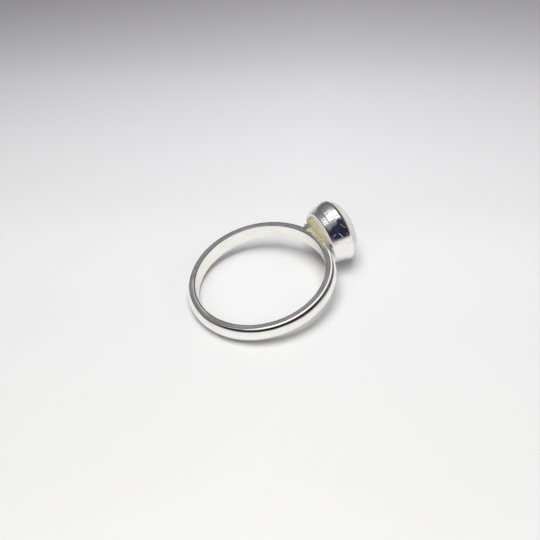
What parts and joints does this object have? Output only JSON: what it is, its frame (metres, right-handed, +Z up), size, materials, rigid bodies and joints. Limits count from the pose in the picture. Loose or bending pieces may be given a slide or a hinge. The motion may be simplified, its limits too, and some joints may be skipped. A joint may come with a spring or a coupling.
{
  "type": "pearl ring",
  "caption": "Silver finger ring lying on its side: low-domed band with a round back plate, a tapered bezel cup and a low-domed pearl.",
  "frame": {"origin": "centre of the finger hole, on the band's axis and half way along it", "axes": "+Z up from the surface that the ring lies on, +X from the finger hole to the head, +Y to the left of that; the band's own axis leans 8.5 degrees from +Z towards -X, because the head is wider than the band and lifts that side"},
  "size_m": [0.0238, 0.0194, 0.0084],
  "materials": {
    "silver": "polished silver with fine scratches",
    "pearl": "nacre, satin gloss"
  },
  "bodies": {
    "root": {"silver_ring": "silver", "pearl": "pearl"}
  },
  "joints": []
}
